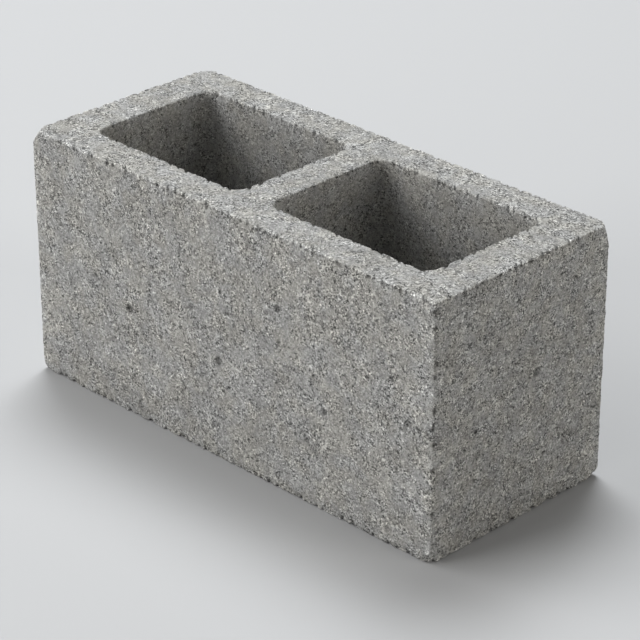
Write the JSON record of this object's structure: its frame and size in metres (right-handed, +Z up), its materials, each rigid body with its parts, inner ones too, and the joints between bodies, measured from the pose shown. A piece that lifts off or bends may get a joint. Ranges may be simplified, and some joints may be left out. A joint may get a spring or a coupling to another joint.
{
  "type": "concrete block",
  "caption": "Hollow building block of dense aggregate concrete, cast in one piece, with open tapered cores from bed to bed and flat, plain ends.",
  "frame": {"origin": "middle of the lower bed face, the face the block stands on as laid", "axes": "+X along the long faces, +Y through the wall, +Z up out of the upper bed"},
  "size_m": [0.44, 0.19, 0.215],
  "materials": {
    "concrete": "matte pressed concrete with open, sandy texture"
  },
  "bodies": {
    "root": {"concrete_block": "concrete"}
  },
  "joints": []
}
